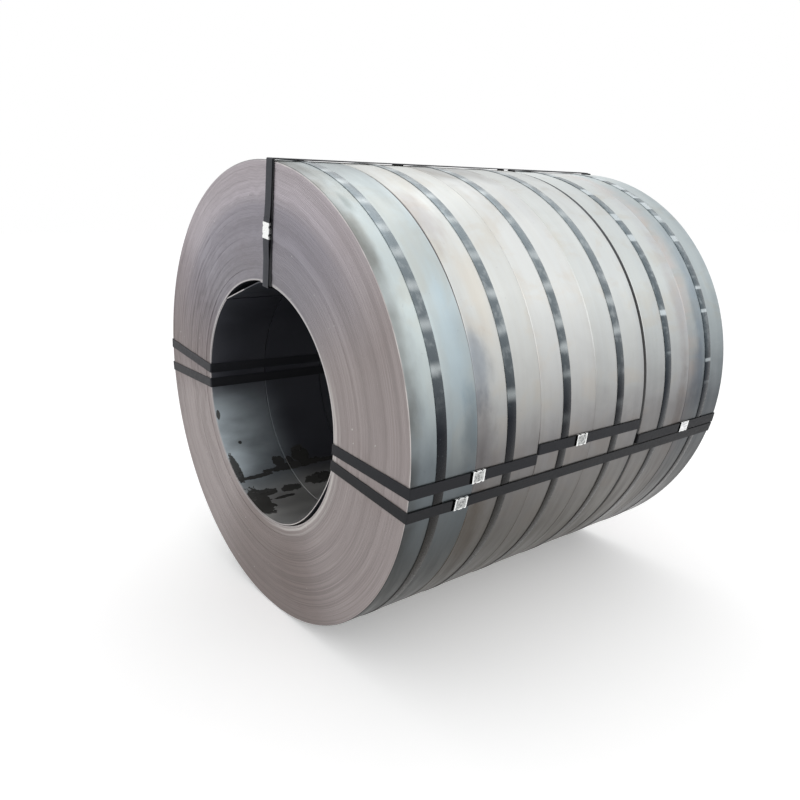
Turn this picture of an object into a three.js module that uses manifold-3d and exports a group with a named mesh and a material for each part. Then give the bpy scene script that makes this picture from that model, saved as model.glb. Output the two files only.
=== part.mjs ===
// A pack of six slit coils of hot-rolled steel strip, lying on its side. Each slit coil is held
// round its outside by a belly strap. Eye straps, which pass through the bore, tie the coils in
// pairs, and three full-length eye straps tie the whole pack. Every strap closes in a notched seal.
// Millimetres, +Z up. The coils' common axis runs along Y and the front end faces -Y. The origin
// is on the floor, under the middle of the pack.

import * as THREE from 'three';
import { mergeVertices } from 'three/addons/utils/BufferGeometryUtils.js';
import Module from 'manifold-3d';

const wasm = await Module();
wasm.setup();

// ---- Driving dimensions --------------------------------------------------------------------

const CLEARANCE = 0.3; // left between pieces that touch

// Slit coils
const BORE_RADIUS = 305; // a 24 inch mandrel
const STRIP_THICKNESS = 3;
const TURNS = 88;
const SLIT_WIDTH = 190;
const END_SLIT_WIDTH = 175; // the first slit and the last
const SLIT_WIDTHS = [END_SLIT_WIDTH, SLIT_WIDTH, SLIT_WIDTH, SLIT_WIDTH, SLIT_WIDTH, END_SLIT_WIDTH];
const EDGE_BREAK = 1.5; // sheared corners at the bore and the outside
const COIL_SEGMENTS = 64;
const COIL_RADIUS = BORE_RADIUS + TURNS * STRIP_THICKNESS;

// Straps: one width and gauge of steel strapping throughout
const STRAP_WIDTH = 25.4; // one inch strapping
const STRAP_THICKNESS = 0.9;

// Gaps between neighbouring coils, from the front. A gap between two tied pairs holds one run of
// strap from each pair, with some slack.
const TIE_GAP = 2 * STRAP_THICKNESS + 3 * CLEARANCE;
const FRONT_SLACK = 0.3;
const REAR_SLACK = 9;
const SEAM_GAPS = [4, TIE_GAP + FRONT_SLACK, 1.5, TIE_GAP + REAR_SLACK, 1.5];

// Groups of turns on the two open ends: how many turns, counted from the bore, and how far the
// group stands back from the foremost one.
const FRONT_GROUPS = [
  { turns: 9, back: 1.6 },
  { turns: 21, back: 0 },
  { turns: 3, back: 1.2 },
  { turns: 26, back: 0.5 },
  { turns: 29, back: 1 },
];
const REAR_GROUPS = [
  { turns: 14, back: 0.8 },
  { turns: 33, back: 0 },
  { turns: 2, back: 1.4 },
  { turns: 39, back: 0.6 },
];

// Innermost turn of the front coil. It lies on the turn outside it, except at its flat head end,
// which spans a chord, and low on the right, where it has sprung away.
const HEAD_ANGLE = 125; // degrees, where the head end touches the wall
const HEAD_SPAN = 31;
const SPRUNG_FROM = -16;
const SPRUNG_TO = -63;
const SPRUNG_DEPTH = 10;
const TURN_SWEEP = 352; // once round, less the step at the head end
const RUN_IN_SPAN = 60; // over which the turn climbs into the wall at its far end
const TURN_ROOT = 1; // how deep the turn is rooted in the wall where the two are one
const TURN_STEPS = 72;
const HEAD_SET_BACK = 2.5; // from the foremost turns of the front face

// Seals
const SEAL_LENGTH = 35;
const SEAL_WALL = 0.9;
const SEAL_LEG = 9;
const NOTCH_DEPTH = 2.5;
const NOTCH_WIDTH = 8;
const TAIL = 10; // strap end that sticks out of a seal
const STRAP_RAMP = 34; // length over which a strap climbs onto its own other end
const RAMP_END = 1; // from the top of that ramp to the tip of the strap's lower end

// ---- Levels that follow from them ----------------------------------------------------------

const DEG = Math.PI / 180;
const FACET = (2 * Math.PI) / COIL_SEGMENTS;
const TO_CORNER = 1 / Math.cos(FACET / 2);
const PACK_LENGTH = [...SLIT_WIDTHS, ...SEAM_GAPS].reduce((sum, length) => sum + length, 0);
const STRAP_LAYER = STRAP_THICKNESS + CLEARANCE;
const SEAL_LIFT = SEAL_WALL + CLEARANCE; // room for a seal's legs under a strap
const SEAL_WIDTH = STRAP_WIDTH + 2 * (CLEARANCE + SEAL_WALL);
const SEAL_STACK = SEAL_LIFT + STRAP_LAYER + STRAP_THICKNESS + SEAL_WALL + 2 * CLEARANCE; // over all
const OVERLAP = SEAL_LENGTH + 2 * TAIL;
const BELLY_INNER = COIL_RADIUS + CLEARANCE * TO_CORNER;
const BELLY_OUTER = BELLY_INNER + STRAP_THICKNESS * TO_CORNER;
const FLOOR_DEPTH = BELLY_OUTER / TO_CORNER; // from the coil axis down to the floor
const WALL_RADIUS = BORE_RADIUS + STRIP_THICKNESS;

// ---- Materials -----------------------------------------------------------------------------

const stripSteel = (color) => new THREE.MeshStandardMaterial({ color, roughness: 0.45, metalness: 0.75 });
const coilColors = [0x8d9396, 0x96938f, 0x9b9794, 0x9c9997, 0x9b9997, 0x8f9295];
const strapSteel = () => new THREE.MeshStandardMaterial({ color: 0x34373c, roughness: 0.35, metalness: 0.6 });
const sealZinc = () => new THREE.MeshStandardMaterial({ color: 0xd4d6d8, roughness: 0.3, metalness: 0.9 });

// ---- Shape helpers -------------------------------------------------------------------------

const pack = new THREE.Group();

function addPiece(name, geometry, material) {
  const mesh = new THREE.Mesh(geometry, material);
  mesh.name = name;
  pack.add(mesh);
  return mesh;
}

function toSolid(geometry) {
  const bare = geometry.clone();
  bare.deleteAttribute('normal');
  bare.deleteAttribute('uv');
  const merged = mergeVertices(bare, 1e-4);
  return new wasm.Manifold(
    new wasm.Mesh({
      numProp: 3,
      vertProperties: merged.attributes.position.array,
      triVerts: new Uint32Array(merged.index.array),
    }),
  );
}

function toGeometry(solid) {
  const mesh = solid.getMesh();
  const geometry = new THREE.BufferGeometry();
  geometry.setAttribute('position', new THREE.BufferAttribute(mesh.vertProperties, 3));
  geometry.setIndex(new THREE.BufferAttribute(mesh.triVerts, 1));
  return geometry;
}

// Leaves out the points of a path where it runs straight on.
function withoutStraightPoints(path) {
  return path.filter((point, i) => {
    if (i === 0 || i === path.length - 1) {
      return true;
    }
    const before = point.clone().sub(path[i - 1]).normalize();
    const after = path[i + 1].clone().sub(point).normalize();
    return Math.abs(before.cross(after)) > 1e-6;
  });
}

// A flat strip of even thickness along an open path: its edge outline, with mitred bends.
function ribbonOutline(course, thickness) {
  const path = withoutStraightPoints(course);
  const half = thickness / 2;
  const normals = path.slice(1).map((point, i) => {
    const along = point.clone().sub(path[i]).normalize();
    return new THREE.Vector2(-along.y, along.x);
  });
  const offset = (point, i, side) => {
    const before = normals[Math.max(i - 1, 0)];
    const after = normals[Math.min(i, normals.length - 1)];
    const mitre = before.clone().add(after).divideScalar(1 + before.dot(after));
    return point.clone().addScaledVector(mitre, side * half);
  };
  const left = path.map((point, i) => offset(point, i, 1));
  const right = path.map((point, i) => offset(point, i, -1));
  return new THREE.Shape([...right, ...left.reverse()]);
}

function extrudeCentred(shape, width) {
  return new THREE.ExtrudeGeometry(shape, { depth: width, bevelEnabled: false }).translate(0, 0, -width / 2);
}

// Turns a shape drawn across the coil axis, in X and Z, into place round that axis.
function acrossAxis(geometry, middle) {
  return geometry.rotateX(Math.PI / 2).translate(0, middle, 0);
}

// Turns a shape drawn along the coil axis, as radius and Y, to its angle round that axis.
function atAngle(geometry, degrees) {
  return geometry.rotateY(-degrees * DEG);
}

const AXIS = new THREE.Vector3(0, 1, 0);
const polar = (radius, angle) => new THREE.Vector2(radius * Math.cos(angle), radius * Math.sin(angle));

// ---- Slit coils ----------------------------------------------------------------------------

const coilFronts = [];
let nextFront = -PACK_LENGTH / 2;
for (const [i, width] of SLIT_WIDTHS.entries()) {
  coilFronts.push(nextFront);
  nextFront += width + (SEAM_GAPS[i] ?? 0);
}
const coilRears = coilFronts.map((front, i) => front + SLIT_WIDTHS[i]);

// The end face as steps between groups of turns, from the bore outwards. outward is -1 on the
// front face and 1 on the rear one.
function steppedFace(groups, bore, faceY, outward) {
  const points = [];
  let radius = BORE_RADIUS;
  groups.forEach((group, i) => {
    const y = faceY - outward * group.back;
    const inner = i === 0 ? bore : radius;
    radius += group.turns * STRIP_THICKNESS;
    const last = i === groups.length - 1;
    if (i === 0) {
      points.push(new THREE.Vector2(inner, y - outward * EDGE_BREAK));
    }
    points.push(new THREE.Vector2(i === 0 ? inner + EDGE_BREAK : inner, y));
    points.push(new THREE.Vector2(last ? COIL_RADIUS - EDGE_BREAK : radius, y));
    if (last) {
      points.push(new THREE.Vector2(COIL_RADIUS, y - outward * EDGE_BREAK));
    }
  });
  return points;
}

const PLAIN_FACE = [{ turns: TURNS, back: 0 }];

function coilGeometry(front, rear, frontGroups, rearGroups, bore) {
  const profile = [
    ...steppedFace(frontGroups, bore, front, -1),
    ...steppedFace(rearGroups, bore, rear, 1).reverse(),
  ];
  profile.push(profile[0].clone());
  return new THREE.LatheGeometry(profile, COIL_SEGMENTS, FACET / 2);
}

// How far the innermost turn stands in from the wall at an angle, in degrees.
function turnInset(angle) {
  if (angle > HEAD_ANGLE - HEAD_SPAN) {
    const fromMiddle = (angle - HEAD_ANGLE + HEAD_SPAN / 2) * DEG;
    const chord = (WALL_RADIUS * Math.cos((HEAD_SPAN / 2) * DEG)) / Math.cos(fromMiddle);
    return WALL_RADIUS - chord + CLEARANCE;
  }
  if (angle < SPRUNG_FROM && angle > SPRUNG_TO) {
    const share = (angle - SPRUNG_FROM) / (SPRUNG_TO - SPRUNG_FROM);
    return SPRUNG_DEPTH * Math.sin(Math.PI * share) ** 2;
  }
  return 0;
}

function innerTurnGeometry(front) {
  const toCorner = 1 / Math.cos(((TURN_SWEEP / TURN_STEPS) * DEG) / 2);
  const outer = [];
  const inner = [];
  for (let i = 0; i <= TURN_STEPS; i += 1) {
    const travelled = (TURN_SWEEP * i) / TURN_STEPS;
    const angle = HEAD_ANGLE - travelled;
    const inset = turnInset(angle);
    const runIn = Math.max(0, 1 - (TURN_SWEEP - travelled) / RUN_IN_SPAN);
    const climb = (STRIP_THICKNESS + TURN_ROOT / 2) * runIn;
    const rooted = TURN_ROOT * (1 - Math.min(1, inset / CLEARANCE));
    outer.push(polar((WALL_RADIUS + rooted - inset) * toCorner, angle * DEG));
    inner.push(polar((WALL_RADIUS - STRIP_THICKNESS - inset + climb) * toCorner, angle * DEG));
  }
  const shape = new THREE.Shape([...outer, ...inner.reverse()]);
  const width = END_SLIT_WIDTH - HEAD_SET_BACK - EDGE_BREAK;
  return acrossAxis(extrudeCentred(shape, width), front + HEAD_SET_BACK + width / 2);
}

coilFronts.forEach((front, i) => {
  const isFirst = i === 0;
  const isLast = i === coilFronts.length - 1;
  const bore = (isFirst ? WALL_RADIUS : BORE_RADIUS) * TO_CORNER;
  let geometry = coilGeometry(
    front,
    coilRears[i],
    isFirst ? FRONT_GROUPS : PLAIN_FACE,
    isLast ? REAR_GROUPS : PLAIN_FACE,
    bore,
  );
  if (isFirst) {
    geometry = toGeometry(toSolid(geometry).add(toSolid(innerTurnGeometry(front))));
  }
  addPiece(`slit_coil_${i + 1}`, geometry, stripSteel(coilColors[i]));
});

// ---- Seals ---------------------------------------------------------------------------------

// A sleeve folded round two layers of strap, its legs turned in underneath and its long edges
// notched. The strap runs along X, and z = 0 is the under side of the lower strap layer.
function sealGeometry() {
  const cavityWidth = STRAP_WIDTH + 2 * CLEARANCE;
  const cavityBottom = -CLEARANCE;
  const cavityTop = STRAP_LAYER + STRAP_THICKNESS + CLEARANCE;
  const halfWidth = SEAL_WIDTH / 2;
  const halfLength = SEAL_LENGTH / 2;
  const edge = [
    [-halfLength, halfWidth],
    ...[-halfLength / 2, halfLength / 2].flatMap((x) => [
      [x - NOTCH_WIDTH / 2, halfWidth],
      [x, halfWidth - NOTCH_DEPTH],
      [x + NOTCH_WIDTH / 2, halfWidth],
    ]),
    [halfLength, halfWidth],
  ].map(([x, y]) => new THREE.Vector2(x, y));
  const otherEdge = edge.map((point) => new THREE.Vector2(-point.x, -point.y));
  const height = cavityTop - cavityBottom + 2 * SEAL_WALL;
  const middle = (cavityTop + cavityBottom) / 2;
  const block = extrudeCentred(new THREE.Shape([...edge, ...otherEdge]), height);
  block.translate(0, 0, middle);
  const cavity = new THREE.BoxGeometry(2 * SEAL_LENGTH, cavityWidth, cavityTop - cavityBottom);
  cavity.translate(0, 0, middle);
  const slot = new THREE.BoxGeometry(2 * SEAL_LENGTH, cavityWidth - 2 * SEAL_LEG, 2 * SEAL_WALL);
  slot.translate(0, 0, cavityBottom - SEAL_WALL);
  return toGeometry(toSolid(block).subtract(toSolid(cavity)).subtract(toSolid(slot)));
}

const sealShape = sealGeometry();

function addSeal(name, position, along, up) {
  const mesh = addPiece(name, sealShape, sealZinc());
  const across = new THREE.Vector3().crossVectors(up, along);
  mesh.position.copy(position);
  mesh.setRotationFromMatrix(new THREE.Matrix4().makeBasis(along, across, up));
}

// ---- Belly straps --------------------------------------------------------------------------

const BELLY_OFFSETS = [-9, 3, -9, -1, -2, 3]; // from the middle of each coil
const BELLY_SEAL_ANGLES = [146, 152, 146, 141, 152, 146]; // degrees, on the left side

// Height of a strap's centre line over what it lies on, by distance from the middle of its seal.
// The strap starts as the lower layer in the seal and comes round to end as the upper layer.
function strapHeight(distance, length, lift) {
  const base = STRAP_THICKNESS / 2;
  const lower = base + lift;
  const upper = lower + STRAP_LAYER;
  const pastSeal = (distance - OVERLAP / 2) / STRAP_RAMP;
  const beforeEnd = (length - OVERLAP / 2 - RAMP_END - distance) / STRAP_RAMP;
  if (pastSeal < 1) {
    return THREE.MathUtils.lerp(lower, base, Math.max(pastSeal, 0));
  }
  return THREE.MathUtils.lerp(upper, base, THREE.MathUtils.clamp(beforeEnd, 0, 1));
}

function heightBreaks(length) {
  return [
    -OVERLAP / 2,
    OVERLAP / 2,
    OVERLAP / 2 + STRAP_RAMP,
    length - OVERLAP / 2 - RAMP_END - STRAP_RAMP,
    length - OVERLAP / 2 - RAMP_END,
    length + OVERLAP / 2,
  ];
}

function bellyStrapGeometry(sealFacet, middle) {
  const flat = BELLY_INNER / TO_CORNER;
  const facetLength = 2 * flat * Math.tan(FACET / 2);
  const length = COIL_SEGMENTS * facetLength;
  const breaks = heightBreaks(length);
  const corners = Array.from({ length: COIL_SEGMENTS + 2 }, (_, i) => (i - 0.5) * facetLength);
  const between = corners.filter((corner) => corner > breaks[0] && corner < breaks[5]);
  const stops = [...breaks, ...between].sort((a, b) => a - b);
  const path = stops.map((stop) => {
    const facet = Math.round(stop / facetLength);
    const alongFacet = stop - facet * facetLength;
    const angle = -Math.PI / 2 + (sealFacet + facet) * FACET;
    const height = flat + strapHeight(stop, length, SEAL_LIFT);
    const turn = Math.atan2((alongFacet / flat) * height, height);
    return polar(height / Math.cos(turn), angle + turn);
  });
  return acrossAxis(extrudeCentred(ribbonOutline(path, STRAP_THICKNESS), STRAP_WIDTH), middle);
}

coilFronts.forEach((front, i) => {
  const middle = (front + coilRears[i]) / 2 + BELLY_OFFSETS[i];
  const sealFacet = Math.round((BELLY_SEAL_ANGLES[i] + 90) / (FACET / DEG));
  const angle = -Math.PI / 2 + sealFacet * FACET;
  addPiece(`belly_strap_${i + 1}`, bellyStrapGeometry(sealFacet, middle), strapSteel());
  const up = new THREE.Vector3(Math.cos(angle), 0, Math.sin(angle));
  const along = new THREE.Vector3(-Math.sin(angle), 0, Math.cos(angle));
  const seat = up.clone().multiplyScalar(BELLY_INNER / TO_CORNER + SEAL_LIFT).setY(middle);
  addSeal(`belly_seal_${i + 1}`, seat, along, up);
});

// ---- Eye straps ----------------------------------------------------------------------------

// Each strap runs up the front of its first coil, along the outside, down the rear of its last
// coil and back through the bore. flat is the angle, in degrees, of the plane it lies square to,
// which straps that lie on each other share. rim and bore give its middle's angle at the front
// and at the rear. raise is the height of what a run crosses, by run. sealOn is the run with the
// seal, and sealAt the seal's place along it as a share. lift makes room for the seal's legs
// where they don't fit between belly straps.
const ALL_RUNS = ['front', 'rim', 'rear', 'bore'];
const EYE_STRAPS = [
  { name: 'right_pair_1', coils: [1, 2], flat: -5.2, rim: [-5.1, -5.3], bore: [-5.1, -5.9], sealAt: 0.5 },
  { name: 'right_pair_2', coils: [3, 4], flat: -4.6, rim: [-3.1, -3.7], bore: [-5.7, -5.7], sealAt: 0.385 },
  { name: 'right_pair_3', coils: [5, 6], flat: -7, rim: [-8.1, -8.3], bore: [-6, -6], sealAt: 0.572 },
  { name: 'right_full', coils: [1, 6], flat: -11, rim: [-10.5, -11.2], bore: [-12.6, -12.8], sealAt: 0.128 },
  ...[[81.4, 85], [83.5, 86], [83, 85.5]].map((rim, i) => ({
    name: `top_pair_${i + 1}`,
    coils: [2 * i + 1, 2 * i + 2],
    flat: 83,
    rim,
    bore: [80.6, 80.6],
    sealOn: 'bore',
    sealAt: 0.5,
    lift: SEAL_LIFT,
  })),
  {
    name: 'top_full',
    coils: [1, 6],
    flat: 83,
    rim: [82, 86.5],
    bore: [82.8, 83.5],
    raise: { front: STRAP_LAYER, rim: STRAP_LAYER, rear: STRAP_LAYER, bore: SEAL_STACK },
    sealOn: 'front',
    sealAt: 0.46,
    lift: SEAL_LIFT,
  },
  { name: 'left_pair_1', coils: [1, 2], flat: 171, rim: [171.5, 171.5], bore: [170.8, 173], sealAt: 0.5 },
  { name: 'left_pair_2', coils: [3, 4], flat: 171, rim: [170, 171], bore: [171, 171.5], sealAt: 0.5 },
  { name: 'left_pair_3', coils: [5, 6], flat: 171, rim: [171, 170], bore: [171, 171.5], sealAt: 0.5 },
  { name: 'left_full', coils: [1, 6], flat: 180, rim: [178.7, 178.5], bore: [178.8, 183.5], sealAt: 0.88 },
].map((strap) => ({ raise: {}, sealOn: 'rim', lift: 0, ...strap }));

// How far straps that lie square to one angle reach sideways in the bore.
function boreReach(flat) {
  const sharing = EYE_STRAPS.filter((strap) => strap.flat === flat);
  const drifts = sharing.flatMap((strap) => strap.bore.map((angle) => Math.abs(angle - flat)));
  return SEAL_WIDTH / 2 + Math.max(...drifts) * DEG * BORE_RADIUS;
}

// The loop seen along its width, as radius and Y: front, rim, rear and bore are its runs in order.
// Each run's line is where the strap's inner surface lies.
function eyeStrapLoop({ coils, flat, raise }) {
  const [first, last] = coils;
  return {
    front: coilFronts[first - 1] - CLEARANCE - (raise.front ?? 0),
    rim: BELLY_OUTER + CLEARANCE + (raise.rim ?? 0),
    rear: coilRears[last - 1] + CLEARANCE + (raise.rear ?? 0),
    bore: Math.sqrt((BORE_RADIUS - CLEARANCE) ** 2 - boreReach(flat) ** 2) - (raise.bore ?? 0),
  };
}

// A point on one run: how far along it as a share, and the height over it.
function onRun(loop, run, share, height) {
  const { front, rim, rear, bore } = loop;
  const along = THREE.MathUtils.lerp;
  return {
    front: () => new THREE.Vector2(along(bore, rim, share), front - height),
    rim: () => new THREE.Vector2(rim + height, along(front, rear, share)),
    rear: () => new THREE.Vector2(along(rim, bore, share), rear + height),
    bore: () => new THREE.Vector2(bore - height, along(rear, front, share)),
  }[run]();
}

// The bend from one run into the next, wrapped round the coil's broken edge.
function bend(loop, run) {
  const next = ALL_RUNS[(ALL_RUNS.indexOf(run) + 1) % 4];
  const inset = EDGE_BREAK + CLEARANCE;
  const corner = onRun(loop, run, 1, 0);
  const back = onRun(loop, run, 0, 0).sub(corner).setLength(inset);
  const ahead = onRun(loop, next, 1, 0).sub(corner).setLength(inset);
  const centre = corner.clone().add(back).add(ahead);
  const reach = inset + STRAP_THICKNESS / 2;
  const out = ahead.clone().negate().setLength(reach);
  const side = back.clone().negate().setLength(reach);
  return [0, 0.5, 1].map((share) => {
    const turn = (share * Math.PI) / 2;
    return centre.clone().addScaledVector(out, Math.cos(turn)).addScaledVector(side, Math.sin(turn));
  });
}

// Sideways place of the strap's middle, from its angles at the four corners of the loop.
function sideways(strap, loop, radius, y) {
  const shareOf = (value, from, to) => THREE.MathUtils.clamp((value - from) / (to - from), 0, 1);
  const alongAxis = shareOf(y, loop.front, loop.rear);
  const outwards = shareOf(radius, loop.bore, loop.rim);
  const arc = ([front, rear], at) => (THREE.MathUtils.lerp(front, rear, alongAxis) - strap.flat) * DEG * at;
  return THREE.MathUtils.lerp(arc(strap.bore, loop.bore), arc(strap.rim, loop.rim), outwards);
}

function eyeStrapGeometry(strap, loop) {
  const { sealOn, sealAt, lift } = strap;
  const runLengthOf = (run) => onRun(loop, run, 1, 0).distanceTo(onRun(loop, run, 0, 0));
  const length = ALL_RUNS.reduce((sum, run) => sum + runLengthOf(run), 0);
  const stops = heightBreaks(length).map((stop, i) => {
    const fromSeal = i < 3 ? stop : stop - length;
    const height = strapHeight(stop, length, lift);
    return onRun(loop, sealOn, sealAt + fromSeal / runLengthOf(sealOn), height);
  });
  const first = ALL_RUNS.indexOf(sealOn);
  const bends = [0, 1, 2, 3].flatMap((step) => bend(loop, ALL_RUNS[(first + step) % 4]));
  const outline = ribbonOutline([...stops.slice(0, 3), ...bends, ...stops.slice(3)], STRAP_THICKNESS);
  const geometry = extrudeCentred(outline, STRAP_WIDTH);
  const position = geometry.attributes.position;
  for (let i = 0; i < position.count; i += 1) {
    position.setZ(i, position.getZ(i) + sideways(strap, loop, position.getX(i), position.getY(i)));
  }
  return atAngle(geometry, strap.flat);
}

function eyeStrapSeal(strap, loop) {
  const { flat, sealOn, sealAt, lift } = strap;
  const turned = (x, y, z) => new THREE.Vector3(x, y, z).applyAxisAngle(AXIS, -flat * DEG);
  const middleOf = (share) => {
    const point = onRun(loop, sealOn, share, lift);
    return turned(point.x, point.y, sideways(strap, loop, point.x, point.y));
  };
  const seat = middleOf(sealAt);
  const along = middleOf(sealAt + 0.01).sub(seat).normalize();
  const rise = onRun(loop, sealOn, sealAt, 1).sub(onRun(loop, sealOn, sealAt, 0));
  addSeal(`${strap.name}_seal`, seat, along, turned(rise.x, rise.y, 0));
}

for (const strap of EYE_STRAPS) {
  const loop = eyeStrapLoop(strap);
  addPiece(`${strap.name}_strap`, eyeStrapGeometry(strap, loop), strapSteel());
  eyeStrapSeal(strap, loop);
}

// ---- Stand the pack on the floor -----------------------------------------------------------

const rearProud = CLEARANCE + STRAP_LAYER + STRAP_THICKNESS;
const frontProud = rearProud + SEAL_LIFT + STRAP_LAYER + CLEARANCE + SEAL_WALL;
pack.position.set(0, (frontProud - rearProud) / 2, FLOOR_DEPTH);

export default pack;
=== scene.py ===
"""Looks for a strapped pack of slit steel coils lying on its side.

The coils are remade with their single turns showing on the two open ends and with the loose
innermost turn in the front bore. The belly straps are remade as smooth bands. The eye straps and
the seals are copies of their own solids with softened edges. Everything is in metres, in the
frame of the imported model: the coils' common axis runs along Y, and the front end faces -Y.
Angles round the axis go from +X towards +Z, in degrees where nothing else is said.
"""

import logging
import math
import random
from dataclasses import dataclass, field, replace
from enum import Enum
from typing import Callable, Sequence

import bmesh
import bpy
from mathutils import Euler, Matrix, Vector, noise


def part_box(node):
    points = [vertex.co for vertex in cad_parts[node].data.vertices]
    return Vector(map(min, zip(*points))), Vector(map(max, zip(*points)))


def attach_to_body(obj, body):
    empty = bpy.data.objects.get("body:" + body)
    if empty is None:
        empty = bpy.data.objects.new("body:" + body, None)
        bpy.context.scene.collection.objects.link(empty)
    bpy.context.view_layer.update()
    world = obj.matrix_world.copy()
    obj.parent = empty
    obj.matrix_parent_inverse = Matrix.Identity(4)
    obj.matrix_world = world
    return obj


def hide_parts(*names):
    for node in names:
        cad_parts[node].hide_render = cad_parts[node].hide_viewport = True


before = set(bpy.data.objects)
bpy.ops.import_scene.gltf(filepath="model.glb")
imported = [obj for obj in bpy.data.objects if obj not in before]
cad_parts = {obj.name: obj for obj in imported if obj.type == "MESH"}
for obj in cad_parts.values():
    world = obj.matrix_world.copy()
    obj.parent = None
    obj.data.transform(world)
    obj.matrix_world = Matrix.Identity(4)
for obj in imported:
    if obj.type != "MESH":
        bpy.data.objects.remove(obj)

LOG = logging.getLogger("coil_pack")
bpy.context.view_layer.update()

Colour = tuple[float, float, float]
Triple = tuple[float, float, float]
Pair = tuple[float, float]

AXIS_HEIGHT = 0.56951
COIL_RADIUS = 0.5683
BORE_RADIUS = 0.3052
STRIP = 0.003
STRAP_GAUGE = 0.0009
CLEARANCE = 0.0003
CHAMFER = 0.0012  # worn corners of a coil
SEAL_SHADOW = 0.008  # length of the painted shadow on the strap in front of a seal
TOLERANCE = 1e-6  # places closer than this are the same
COAT_ROUGHNESS = 0.15
MIX_FIRST, MIX_SECOND, MIX_RESULT = 6, 7, 2  # a Mix node's sockets for colours
FRONT_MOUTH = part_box("slit_coil_1")[0].y
STRAP_RUNS = (-4.5, 84.0, 171.0)  # angles at which eye straps cross the faces


class Slot(Enum):
    """Names for the kinds of material on the pack."""

    STRIP = "hot_rolled_strip"
    BELLY = "belly_strapping"
    EYE = "eye_strapping"
    SEAL = "galvanised_seal"


class Face(Enum):
    """Zones of a coil, in the order of its material slots."""

    BARREL = 0
    END = 1
    BORE = 2


def held(value: float) -> float:
    """A value, held between 0 and 1."""
    return min(1.0, max(0.0, value))


def eased(value: float) -> float:
    """A value, held between 0 and 1 and eased at both ends."""
    share = held(value)
    return share * share * (3 - 2 * share)


def apart(first: float, second: float) -> float:
    """The angle between two directions, in degrees."""
    return abs((first - second + 180) % 360 - 180)


def between(first: Colour, second: Colour, share: float) -> Colour:
    """The colour that lies a share of the way from the first one to the second."""
    return tuple(a + share * (b - a) for a, b in zip(first, second))


def scaled(colour: Colour, share: float) -> Colour:
    """A colour made lighter or darker."""
    return tuple(share * c for c in colour)


def sine_of(degrees: float) -> float:
    """The sine of an angle in degrees."""
    return math.sin(math.radians(degrees))


def cosine_of(degrees: float) -> float:
    """The cosine of an angle in degrees."""
    return math.cos(math.radians(degrees))


# ---- Node trees ----


class Value:
    """An output in a node tree, which reckons by adding Math nodes."""

    def __init__(self, graph: "Graph", socket: bpy.types.NodeSocket) -> None:
        """Keeps the output and its graph."""
        self.graph = graph
        self.socket = socket

    def __add__(self, other: "Term") -> "Value":
        """The sum."""
        return self.graph.math("ADD", self, other)

    def __sub__(self, other: "Term") -> "Value":
        """The difference."""
        return self.graph.math("SUBTRACT", self, other)

    def __mul__(self, other: "Term") -> "Value":
        """The product."""
        return self.graph.math("MULTIPLY", self, other)

    def __truediv__(self, other: "Term") -> "Value":
        """The quotient."""
        return self.graph.math("DIVIDE", self, other)


Term = Value | float  # what a number input takes
Tone = Value | Colour  # what a colour input takes
Inputs = dict[str | int, Term | Tone]
Owner = bpy.types.Material | bpy.types.World


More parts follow.
